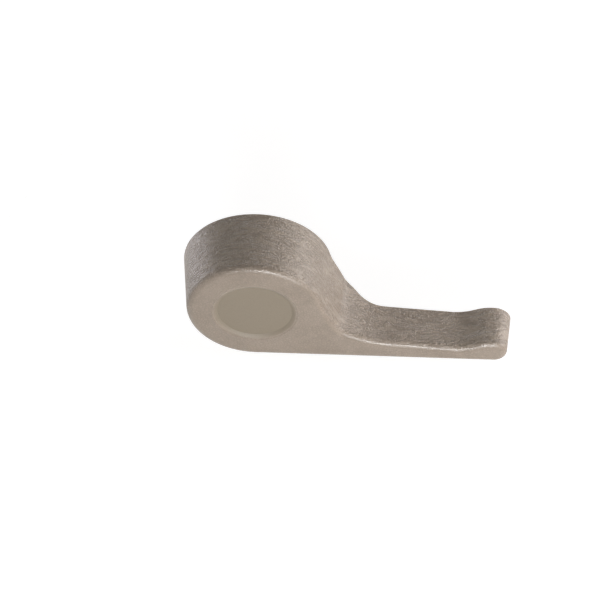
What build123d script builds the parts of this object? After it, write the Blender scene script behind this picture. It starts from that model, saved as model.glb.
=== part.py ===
from build123d import *
from math import cos, radians, sin
import os

os.makedirs("parts", exist_ok=True)

# Car seat recliner lever. Millimetres and degrees. The pivot axis is Y, pointing into the
# seat; X runs along the arm to its tip and Z is up. The origin is the middle of the hub's mouth.

# Outer shape, measured in the plane of the head's rear rim
rim_radius = 32.0
head_depth = 28.1
draft = 6.6
hub_setback = 2.0
arm_reach = 111.5
arm_depth = 19.1
tip_height = 18.4
tip_length = 13.2
waist_height = 14.3
waist_setback = 22.8
shoulder_height = 17.4
shoulder_offset = 18.0

# The neck leaves the head along the tangent at this angle above the level, and bends to the
# arm at this distance beyond the head and below the pivot axis
neck_tangent_angle = 15.3
neck_tangent_run = 4.5
neck_offset = 6.5
neck_drop = 9.1

# Corners of the arm's outline: distance along the arm, height above the underside, rounding
tip_bottom = (arm_reach, 0.0, 8.4)
tip_top = (arm_reach, tip_height, 9.0)
rise_top = (arm_reach - tip_length, tip_height, 16.0)
waist = (arm_reach - waist_setback, waist_height, 18.0)
shoulder = (rim_radius + shoulder_offset, shoulder_height, 40.0)
neck = (rim_radius + neck_offset, rim_radius - neck_drop, 8.2)
upper_neck_rounding = 30.5

# Front edge and the shallow round recess
front_rounding = 2.9
recess_radius = 17.8
recess_depth = 1.2
recess_slope = 2.0
recess_rim_bevel = 0.6

# Step of the rear edge from the head down to the arm, and the bevel round the whole rear edge
step_start = rim_radius + 0.1
step_length = 22.0
rear_edge_bevel = 0.35

# Walls and ribs of the open back
wall = 2.5
front_plate = 3.0
head_rib_count = 8
head_rib_thickness = 1.8
head_rib_setback = 5.0
arm_rib_count = 5
arm_rib_thickness = 1.6
arm_rib_setback = 2.5
first_arm_rib_offset = 21.0
last_arm_rib_setback = 13.0

# Hub with its pilot bore, the double-D socket behind it and the chamfer that leads into it
hub_radius = 11.0
hub_draft = 1.0
hub_edge_bevel = 0.5
bore_radius = 7.5
bore_length = 5.5
shaft_radius = 6.85
shaft_flats = 10.7
shaft_clearance = 0.15
socket_depth = 20.0
socket_chamfer = 0.4

# Spring clip and the two pockets it stands in, beside the socket's flats
clip_width = 6.0
clip_thickness = 0.8
clip_height = 13.4
clip_bend_radius = 1.2
clip_pinch = 1.5
clip_side_clearance = 0.2
clip_pocket_depth = 1.2

# Positions along the pivot axis
rim_y = hub_setback
front_y = rim_y - head_depth
floor_y = front_y + front_plate
arm_rear_y = front_y + arm_depth
socket_end_y = -socket_depth
pocket_depth = head_depth - front_plate

rim_plane = Plane.XZ.offset(-rim_y)
floor_plane = Plane.XZ.offset(-floor_y)
hub_plane = Plane.XZ

socket_radius = shaft_radius + shaft_clearance
socket_flats = shaft_flats + 2 * shaft_clearance
clip_pocket_width = clip_width + 2 * clip_side_clearance
clip_pocket_span = socket_flats + 2 * clip_pocket_depth


# Outline of the whole lever in the rim plane: the head's arc, then the arm's rounded corners
with BuildSketch() as outline:
    neck_angle = radians(neck_tangent_angle)
    neck_start = (rim_radius * cos(neck_angle), rim_radius * sin(neck_angle))
    upper_neck_along = neck_start[0] + neck_tangent_run * sin(neck_angle)
    upper_neck_height = rim_radius + neck_start[1] - neck_tangent_run * cos(neck_angle)
    upper_neck = (upper_neck_along, upper_neck_height, upper_neck_rounding)
    corners = [tip_bottom, tip_top, rise_top, waist, shoulder, neck, upper_neck]
    with BuildLine():
        CenterArc((0, 0), rim_radius, neck_tangent_angle, 270 - neck_tangent_angle)
        Polyline(
            (0, -rim_radius),
            *[(along, height - rim_radius) for along, height, rounding in corners],
            neck_start,
        )
    make_face()
    for along, height, rounding in corners:
        corner = outline.vertices().sort_by_distance((along, height - rim_radius, 0))[0]
        fillet(corner, radius=rounding)


# Space inside the round head, with the hub and its ribs left standing
with BuildPart() as head_space:
    with BuildSketch(rim_plane):
        Circle(rim_radius - wall)
    extrude(amount=pocket_depth, taper=draft)
    with BuildSketch(hub_plane):
        Circle(hub_radius)
    extrude(amount=-floor_y, taper=-hub_draft, mode=Mode.SUBTRACT)
    with BuildSketch(floor_plane):
        with PolarLocations(0, head_rib_count // 2, angular_range=180):
            Rectangle(3 * rim_radius, head_rib_thickness)
    extrude(amount=-(pocket_depth - head_rib_setback), mode=Mode.SUBTRACT)


# Space inside the arm, outside the round wall of the head, with its cross ribs left standing
with BuildPart() as arm_space:
    with BuildSketch(rim_plane):
        add(outline.sketch)
        offset(amount=-wall)
    extrude(amount=pocket_depth, taper=draft)
    with BuildSketch(rim_plane):
        Circle(rim_radius)
    extrude(amount=head_depth, taper=draft, mode=Mode.SUBTRACT)
    with BuildSketch(floor_plane):
        first_arm_rib = rim_radius + first_arm_rib_offset
        last_arm_rib = arm_reach - last_arm_rib_setback
        arm_rib_pitch = (last_arm_rib - first_arm_rib) / (arm_rib_count - 1)
        with Locations(((first_arm_rib + last_arm_rib) / 2, 0)):
            with GridLocations(arm_rib_pitch, 1, arm_rib_count, 1):
                Rectangle(arm_rib_thickness, 3 * rim_radius)
    extrude(amount=-(arm_rear_y - arm_rib_setback - floor_y), mode=Mode.SUBTRACT)


# Handle: drafted outer body, stepped rear edge, rounded front edge, dished recess, open back
with BuildPart() as lever_handle:
    with BuildSketch(rim_plane):
        add(outline.sketch)
    extrude(amount=head_depth, taper=draft)

    step_finish_x = step_start + step_length
    with BuildSketch(Plane.XY):
        with BuildLine():
            step_drop = rim_y - arm_rear_y
            step_middle = (step_start + step_length / 2, rim_y - step_drop / 2)
            step_finish = (step_finish_x, arm_rear_y)
            upper_bend = TangentArc((step_start, rim_y), step_middle, tangent=(1, 0))
            lower_bend = TangentArc(step_middle, step_finish, tangent=upper_bend % 1)
            Polyline(
                step_finish,
                (arm_reach + wall, arm_rear_y),
                (arm_reach + wall, rim_y + wall),
                (step_start, rim_y + wall),
                (step_start, rim_y),
            )
        make_face()
    extrude(amount=2 * rim_radius, both=True, mode=Mode.SUBTRACT)

    front_face = lever_handle.faces().sort_by(Axis.Y)[0]
    fillet(front_face.edges(), radius=front_rounding)
    rear_faces = lever_handle.faces().filter_by(lambda face: face.normal_at().Y > 0.5)
    seams = rear_faces.edges().filter_by(Axis.Z).filter_by_position(Axis.X, 0, step_finish_x + 1)
    chamfer(rear_faces.edges() - seams, length=rear_edge_bevel)

    with BuildSketch(Plane.XY):
        with BuildLine():
            Polyline(
                (0, front_y + recess_depth),
                (recess_radius - recess_slope, front_y + recess_depth),
                (recess_radius, front_y),
                (recess_radius, front_y - 1),
                (0, front_y - 1),
                close=True,
            )
        make_face()
    revolve(axis=Axis.Y, mode=Mode.SUBTRACT)
    front_face = lever_handle.faces().sort_by(Axis.Y)[0]
    chamfer(front_face.inner_wires()[0].edges(), length=recess_rim_bevel)

    add(head_space.part, mode=Mode.SUBTRACT)
    add(arm_space.part, mode=Mode.SUBTRACT)

    hub_mouth = lever_handle.faces().filter_by(Plane.XZ).sort_by_distance((0, 0, 0))[0]
    chamfer(hub_mouth.edges(), length=hub_edge_bevel)

    with BuildSketch(hub_plane):
        Circle(bore_radius)
    extrude(amount=bore_length, mode=Mode.SUBTRACT)
    with BuildSketch(hub_plane):
        Circle(socket_radius)
        Rectangle(2 * socket_radius, socket_flats, mode=Mode.INTERSECT)
    extrude(amount=socket_depth, mode=Mode.SUBTRACT)
    bore_end = lever_handle.faces().filter_by(Plane.XZ).sort_by_distance((0, -bore_length, 0))[0]
    chamfer(bore_end.inner_wires()[0].edges(), length=socket_chamfer)
    with BuildSketch(hub_plane):
        Rectangle(clip_pocket_width, clip_pocket_span)
    extrude(amount=socket_depth, mode=Mode.SUBTRACT)


# Spring clip: a strip bent to a U, its legs pinched in to grip the shaft's flats
with BuildPart() as retaining_clip:
    with BuildLine():
        leg_z = clip_pocket_span / 2 - clip_thickness / 2
        base_y = socket_end_y + clip_thickness / 2
        leg_top_y = socket_end_y + clip_height
        right_leg = [
            (0, leg_top_y, leg_z),
            (0, socket_end_y + 0.85 * clip_height, leg_z),
            (0, socket_end_y + 0.6 * clip_height, leg_z - clip_pinch),
            (0, socket_end_y + 0.3 * clip_height, leg_z),
            (0, base_y, leg_z),
        ]
        left_leg = [(x, y, -z) for x, y, z in reversed(right_leg)]
        strip_line = FilletPolyline(*right_leg, *left_leg, radius=clip_bend_radius)
    with BuildSketch(Plane(strip_line @ 0, x_dir=(1, 0, 0), z_dir=strip_line % 0)):
        Rectangle(clip_width, clip_thickness)
    sweep()


lever_handle.part.label = "lever_handle"
retaining_clip.part.label = "retaining_clip"
export_step(lever_handle.part, "parts/lever_handle.step")
export_step(retaining_clip.part, "parts/retaining_clip.step")
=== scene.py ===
import math

import bpy
from mathutils import Matrix, Vector


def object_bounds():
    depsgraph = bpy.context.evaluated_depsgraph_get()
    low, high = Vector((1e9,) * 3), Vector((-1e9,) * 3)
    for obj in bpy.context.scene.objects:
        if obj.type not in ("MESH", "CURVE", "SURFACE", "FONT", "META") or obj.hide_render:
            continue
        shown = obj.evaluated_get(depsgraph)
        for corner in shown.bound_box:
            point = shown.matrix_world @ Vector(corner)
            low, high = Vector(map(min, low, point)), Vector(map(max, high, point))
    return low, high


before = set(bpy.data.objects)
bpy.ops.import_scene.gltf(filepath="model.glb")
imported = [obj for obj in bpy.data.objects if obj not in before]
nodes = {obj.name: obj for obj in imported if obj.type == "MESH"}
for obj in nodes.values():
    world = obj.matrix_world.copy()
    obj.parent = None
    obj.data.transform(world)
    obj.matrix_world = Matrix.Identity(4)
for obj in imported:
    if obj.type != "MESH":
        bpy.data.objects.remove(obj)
cad_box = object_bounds()

scene = bpy.context.scene

MM = 0.001


class Tree:
    """Writes a node tree in few lines."""

    def __init__(self, tree):
        self.tree = tree
        self.tree.nodes.clear()

    def node(self, kind, inputs=None, **attributes):
        made = self.tree.nodes.new(kind)
        for name, value in attributes.items():
            setattr(made, name, value)
        for key, value in (inputs or {}).items():
            self.set(made, key, value)
        return made

    def set(self, node, key, value):
        """Link a socket, or set its value."""
        socket = node.inputs[key]
        if isinstance(value, bpy.types.NodeSocket):
            self.tree.links.new(value, socket)
        else:
            socket.default_value = value

    def math(self, operation, a, b=0.0):
        made = self.node("ShaderNodeMath", {0: a, 1: b}, operation=operation)
        return made.outputs[0]

    def times(self, a, b):
        return self.math("MULTIPLY", a, b)

    def ramp(self, value, low, high, out_low=0.0, out_high=1.0):
        """Smooth step of value from low to high."""
        inputs = dict(enumerate((value, low, high, out_low, out_high)))
        made = self.node("ShaderNodeMapRange", inputs, interpolation_type="SMOOTHSTEP")
        return made.outputs[0]

    def mix(self, share, a, b):
        """Mix of two colours."""
        made = self.node("ShaderNodeMix", {0: share, 6: a, 7: b}, data_type="RGBA")
        return made.outputs[2]

    def mix_value(self, share, a, b):
        """Mix of two numbers."""
        made = self.node("ShaderNodeMix", {0: share, 2: a, 3: b}, data_type="FLOAT")
        return made.outputs[0]

    def noise(self, vector, scale, detail=2.0, roughness=0.5, distortion=0.0):
        made = self.node("ShaderNodeTexNoise", {
            "Vector": vector, "Scale": scale, "Detail": detail,
            "Roughness": roughness, "Distortion": distortion})
        return made.outputs["Fac"]

    def sees_background(self):
        """1 for the rays that show the background: camera, glossy and transmission rays."""
        path = self.node("ShaderNodeLightPath").outputs
        shiny = self.math("MAXIMUM", path["Is Glossy Ray"], path["Is Transmission Ray"])
        return self.math("MAXIMUM", path["Is Camera Ray"], shiny)


def new_material(name):
    material = bpy.data.materials.new(name)
    material.use_nodes = True
    return material, Tree(material.node_tree)


def srgb(r, g, b):
    def linear(c):
        c /= 255
        return c / 12.92 if c <= 0.04045 else ((c + 0.055) / 1.055) ** 2.4
    return (linear(r), linear(g), linear(b), 1.0)


# Moulded plastic. The part's skin is told from its inside, and the walls from the front face,
# by the y of the normal; the dish by the radius about the pivot axis and the place along it.
# Each pair says where a share begins and where it is full.
SKIN_LEAN = (-0.03, -0.075)
WALL_LEAN = (-0.85, -0.35)
FRONT_Y = (-22 * MM, -24 * MM)
DISH_RADIUS = (18.0 * MM, 16.2 * MM)
DULL_RADIUS = (18.2 * MM, 17.2 * MM)

# Scales of the grain, in features to the metre
WARP_SCALE = 420.0
PEBBLE_SCALE = 800.0
WRINKLE_SCALE = 320.0
SWELL_SCALE = 330.0
SPECKLE_SCALE = 2400.0
MOTTLE_SCALE = 90.0

# How far pebbles are pushed about, how wrinkles are drawn out round the pivot axis, and how
# far from its crease a pebble or a wrinkle reaches its full height
WARP_REACH = 1.3 * MM
WRINKLE_STRETCH = (0.3, 1.0, 0.3)
PEBBLE_SLOPE = 0.34
WRINKLE_SLOPE = 0.12

# Shares of the forms in the grain, and of the grain that is left in the dish
PEBBLES_IN_FRONT = 0.5
SWELL_IN_FRONT = 0.5
WRINKLES_IN_WALLS = 0.7
PEBBLES_IN_WALLS = 0.3
WALLS_SHARE = 0.8
DISH_GRAIN = 0.12

# Depth of the grain, and how much of it the front face and the walls have
GRAIN_DEPTH = 0.16 * MM
FRONT_DEPTH, WALL_DEPTH = 0.65, 2.2

# Colours, and how strongly the painted shade in the creases of the grain and the dark specks
# show
MIDDLE_TONE = srgb(152, 138, 123)
LIGHT_TONE = srgb(160, 146, 131)
DISH_TONE = srgb(134, 123, 106)
# painted shade: the dark colour laid into the creases of the grain
CREASE_SHADE_TONE = srgb(96, 82, 69)
SPECK_TONE = srgb(118, 105, 92)
FRONT_CREASE_SHADE, WALL_CREASE_SHADE = 0.36, 0.7
SPECK_STRENGTH = 0.42

# Finish
FRONT_ROUGH, WALL_ROUGH, DISH_ROUGH = 0.2, 0.42, 0.5
ROUGH_SPREAD = 0.05
PLASTIC_IOR = 1.5
PLASTIC_SPECULAR = 0.7


def moulded_plastic():
    material, t = new_material("moulded_plastic_taupe")
    place = t.node("ShaderNodeTexCoord").outputs["Object"]
    x, y, z = t.node("ShaderNodeSeparateXYZ", {0: place}).outputs
    normal = t.node("ShaderNodeNewGeometry").outputs["True Normal"]
    facing = t.node("ShaderNodeSeparateXYZ", {0: normal}).outputs[1]

    # the outer skin leans to the front by its draft, the inside leans to the back
    skin = t.ramp(facing, *SKIN_LEAN)
    walls = t.times(skin, t.ramp(facing, *WALL_LEAN))

    # the dish in the front face is nearly free of grain and a little duller than the rest
    radius = t.math("SQRT", t.math("ADD", t.times(x, x), t.times(z, z)))
    front = t.ramp(y, *FRONT_Y)
    dish = t.times(t.ramp(radius, *DISH_RADIUS), front)
    dull = t.times(t.ramp(radius, *DULL_RADIUS), front)
    strength = t.times(skin, t.mix_value(dish, 1.0, DISH_GRAIN))

    # leather-like grain: pebbles between fine creases, and long wrinkles round the walls
    warp = t.node("ShaderNodeTexNoise", {"Vector": place, "Scale": WARP_SCALE, "Detail": 1.0})
    warped = t.node("ShaderNodeVectorMath", {
        0: warp.outputs["Color"], 1: (WARP_REACH,) * 3, 2: place}, operation="MULTIPLY_ADD")
    cells = t.node("ShaderNodeTexVoronoi", {
        "Vector": warped.outputs[0], "Scale": PEBBLE_SCALE}, feature="DISTANCE_TO_EDGE")
    pebbles = t.ramp(cells.outputs["Distance"], 0.0, PEBBLE_SLOPE)
    drawn = t.node("ShaderNodeMapping", {"Vector": place, "Scale": WRINKLE_STRETCH})
    folds = t.noise(drawn.outputs[0], WRINKLE_SCALE, roughness=0.6, distortion=1.4)
    from_crease = t.math("ABSOLUTE", t.math("SUBTRACT", folds, 0.5))
    wrinkles = t.ramp(from_crease, 0.0, WRINKLE_SLOPE)
    swell = t.noise(place, SWELL_SCALE, detail=1.0)
    pebbly = t.math("ADD", t.times(pebbles, PEBBLES_IN_FRONT), t.times(swell, SWELL_IN_FRONT))
    wavy = t.math("ADD", t.times(wrinkles, WRINKLES_IN_WALLS),
                  t.times(pebbles, PEBBLES_IN_WALLS))
    grain = t.mix_value(t.times(walls, WALLS_SHARE), pebbly, wavy)

    # colour: two close tones, a slightly darker and yellower dish, painted shade darkening the
    # creases of the grain, and dark specks
    mottle = t.noise(place, MOTTLE_SCALE, detail=3.0, roughness=0.55)
    base = t.mix(t.ramp(mottle, 0.35, 0.65), MIDDLE_TONE, LIGHT_TONE)
    base = t.mix(dish, base, DISH_TONE)
    # painted shade: the creases of the grain are darkened in the colour, more on the walls
    # than on the front face
    crease_shade = t.times(t.math("SUBTRACT", 1.0, grain), strength)
    crease_shade = t.times(crease_shade, t.mix_value(walls, FRONT_CREASE_SHADE, WALL_CREASE_SHADE))
    base = t.mix(crease_shade, base, CREASE_SHADE_TONE)
    speckle = t.noise(place, SPECKLE_SCALE, roughness=0.6)
    base = t.mix(t.times(t.ramp(speckle, 0.48, 0.72), SPECK_STRENGTH), base, SPECK_TONE)

    rough = t.mix_value(dull, t.mix_value(walls, FRONT_ROUGH, WALL_ROUGH), DISH_ROUGH)
    rough = t.math("ADD", rough, t.times(t.math("SUBTRACT", mottle, 0.5), ROUGH_SPREAD))

    depth = t.times(strength, t.mix_value(walls, FRONT_DEPTH, WALL_DEPTH))
    bump = t.node("ShaderNodeBump", {
        "Height": t.times(grain, depth), "Strength": 1.0, "Distance": GRAIN_DEPTH})
    shader = t.node("ShaderNodeBsdfPrincipled", {
        "Base Color": base, "Roughness": rough, "Normal": bump.outputs[0],
        "IOR": PLASTIC_IOR, "Specular IOR Level": PLASTIC_SPECULAR})
    t.node("ShaderNodeOutputMaterial", {"Surface": shader.outputs[0]})
    return material


# Spring steel, with fine lines drawn out along the strip and faint clouds
STEEL_STRETCH = (1.0, 0.06, 0.06)
STEEL_LINE_SCALE = 9000.0
STEEL_CLOUD_SCALE = 500.0
STEEL_DARK = (0.50, 0.50, 0.49, 1)
STEEL_LIGHT = (0.60, 0.60, 0.60, 1)
STEEL_ROUGH, STEEL_ROUGH_SPREAD = 0.26, 0.18
STEEL_LINE_DEPTH = 0.02 * MM


def spring_steel():
    material, t = new_material("spring_steel_strip")
    place = t.node("ShaderNodeTexCoord").outputs["Object"]
    drawn = t.node("ShaderNodeMapping", {"Vector": place, "Scale": STEEL_STRETCH})
    lines = t.noise(drawn.outputs[0], STEEL_LINE_SCALE, detail=3.0, roughness=0.6)
    clouds = t.noise(place, STEEL_CLOUD_SCALE, detail=3.0, roughness=0.6)
    base = t.mix(t.ramp(clouds, 0.35, 0.7), STEEL_DARK, STEEL_LIGHT)
    rough = t.math("ADD", STEEL_ROUGH, t.times(lines, STEEL_ROUGH_SPREAD))
    bump = t.node("ShaderNodeBump", {
        "Height": lines, "Strength": 0.3, "Distance": STEEL_LINE_DEPTH})
    shader = t.node("ShaderNodeBsdfPrincipled", {
        "Base Color": base, "Roughness": rough, "Metallic": 1.0, "Normal": bump.outputs[0]})
    t.node("ShaderNodeOutputMaterial", {"Surface": shader.outputs[0]})
    return material


def dress(node, material):
    mesh = nodes[node].data
    mesh.materials.clear()
    mesh.materials.append(material)


dress("lever_handle", moulded_plastic())
dress("retaining_clip", spring_steel())


# Floor, just under the object. What shows the background sees it glow nearly white, a little
# less near the object so that the lamps and the object's shadow tell there; it lights the
# object as a plain pale surface.
FLOOR_GAP = 0.2 * MM
FLOOR_HALF_SIDE = 6.0
FLOOR_NEAR, FLOOR_FAR = 0.1, 0.35
FLOOR_GLOW_NEAR, FLOOR_GLOW_FAR = 0.82, 1.0
FLOOR_PALE = (0.8, 0.8, 0.8, 1)
FLOOR_SHADE = (0.45, 0.45, 0.45, 1)


def make_floor():
    low = cad_box[0].z - FLOOR_GAP
    signs = [(-1, -1), (1, -1), (1, 1), (-1, 1)]
    corners = [(x * FLOOR_HALF_SIDE, y * FLOOR_HALF_SIDE, low) for x, y in signs]
    mesh = bpy.data.meshes.new("floor")
    mesh.from_pydata(corners, [], [(0, 1, 2, 3)])
    floor = bpy.data.objects.new("floor", mesh)
    scene.collection.objects.link(floor)

    material, t = new_material("floor_pale")
    place = t.node("ShaderNodeTexCoord").outputs["Object"]
    away = t.node("ShaderNodeVectorMath", {0: place}, operation="LENGTH").outputs["Value"]
    strength = t.ramp(away, FLOOR_NEAR, FLOOR_FAR, FLOOR_GLOW_NEAR, FLOOR_GLOW_FAR)
    glow = t.node("ShaderNodeEmission", {"Color": (1, 1, 1, 1), "Strength": strength})
    shade = t.node("ShaderNodeBsdfDiffuse", {"Color": FLOOR_SHADE})
    shown = t.node("ShaderNodeAddShader", {0: glow.outputs[0], 1: shade.outputs[0]})
    pale = t.node("ShaderNodeBsdfDiffuse", {"Color": FLOOR_PALE})
    surface = t.node("ShaderNodeMixShader", {
        0: t.sees_background(), 1: pale.outputs[0], 2: shown.outputs[0]})
    t.node("ShaderNodeOutputMaterial", {"Surface": surface.outputs[0]})
    mesh.materials.append(material)


make_floor()


# Light. The lamps stand round LAMP_CENTRE and face it; azimuth 0 is in front and 90 is on the
# right. Degrees, metres and watts.
WHITE = (1, 1, 1)
WARM = (1.0, 0.92, 0.8)
WORLD_STRENGTH = 0.03
LAMP_CENTRE = Vector((0.04, -0.01, -0.005))
LAMPS = [
    # name, azimuth, elevation, distance, width, height, watts, tint
    ("front_strip", 0, 19, 1.2, 0.95, 0.06, 6.6, WHITE),
    ("front_right", 28, 14, 1.2, 0.8, 0.5, 0.9, WHITE),
    ("near_front", 16, 5, 0.26, 0.2, 0.15, 0.28, WHITE),
    ("left_side", -90, 9, 1.1, 1.0, 0.7, 1.9, WARM),
    ("left_edge", -116, -5, 0.17, 0.1, 0.03, 0.045, (0.96, 0.93, 1.0)),
    ("right_side", 85, 10, 1.1, 1.0, 0.7, 3.5, WARM),
    ("tip_side", 90, 6, 0.35, 0.25, 0.2, 0.6, (0.96, 0.94, 1.0)),
    ("right_back", 125, 15, 1.1, 1.0, 0.7, 6.0, WHITE),
    ("back_low", 180, 4, 1.2, 1.1, 0.5, 7.0, WHITE),
    ("overhead", 0, 85, 1.1, 1.0, 1.0, 0.1, (1.0, 0.9, 0.75)),
]


def direction(azimuth, elevation):
    """Unit vector from the object to where these angles, in radians, look from."""
    return Vector((math.sin(azimuth) * math.cos(elevation),
                   -math.cos(azimuth) * math.cos(elevation), math.sin(elevation)))


def make_world():
    """White for what shows the background, and a faint warm light on the object."""
    world = bpy.data.worlds.new("studio")
    scene.world = world
    world.use_nodes = True
    t = Tree(world.node_tree)
    shown = t.sees_background()
    strength = t.math("MAXIMUM", shown, WORLD_STRENGTH)
    tone = t.mix(shown, (*WARM, 1), (*WHITE, 1))
    room = t.node("ShaderNodeBackground", {"Color": tone, "Strength": strength})
    t.node("ShaderNodeOutputWorld", {"Surface": room.outputs[0]})


def softbox(name, azimuth, elevation, distance, width, height, watts, tint):
    away = direction(math.radians(azimuth), math.radians(elevation))
    lamp = bpy.data.lights.new(name, "AREA")
    lamp.shape = "RECTANGLE"
    lamp.size, lamp.size_y = width, height
    lamp.energy = watts
    lamp.color = tint
    made = bpy.data.objects.new(name, lamp)
    made.location = LAMP_CENTRE + away * distance
    made.rotation_euler = away.to_track_quat("Z", "Y").to_euler()
    scene.collection.objects.link(made)


make_world()
for settings in LAMPS:
    softbox(*settings)


# Camera, fitted to the photo: its angles in degrees, the point it looks at and the pixel where
# that point lies in the square frame, the scale there, and its distance in metres
CAMERA_ANGLES = (1.941, 51.569, 0.284)
CAMERA_DISTANCE = 0.8
TARGET_MM = (40.0, -11.2, -10.0)
TARGET_PIXEL = (349.59, 303.61)
PIXELS_PER_MM = 2.322
FRAME_PIXELS = 600
SENSOR_WIDTH = 36.0
CLIP_START, CLIP_END = 0.01, 50.0


def make_camera():
    azimuth, elevation, roll = (math.radians(angle) for angle in CAMERA_ANGLES)
    across, down = ((pixel - FRAME_PIXELS / 2) / PIXELS_PER_MM * MM for pixel in TARGET_PIXEL)
    back = direction(azimuth, elevation)
    level_right = (-back).cross(Vector((0, 0, 1))).normalized()
    level_up = level_right.cross(-back)
    right = level_right * math.cos(roll) + level_up * math.sin(roll)
    up = -level_right * math.sin(roll) + level_up * math.cos(roll)
    spot = Vector(TARGET_MM) * MM + back * CAMERA_DISTANCE - right * across + up * down

    data = bpy.data.cameras.new("photo_camera")
    data.sensor_width = SENSOR_WIDTH
    data.lens = SENSOR_WIDTH * PIXELS_PER_MM * CAMERA_DISTANCE / MM / FRAME_PIXELS
    data.clip_start, data.clip_end = CLIP_START, CLIP_END
    camera = bpy.data.objects.new("photo_camera", data)
    rotation = Matrix((right, up, back)).transposed()
    camera.matrix_world = Matrix.Translation(spot) @ rotation.to_4x4()
    scene.collection.objects.link(camera)
    scene.camera = camera


make_camera()
scene.view_settings.view_transform = "Standard"
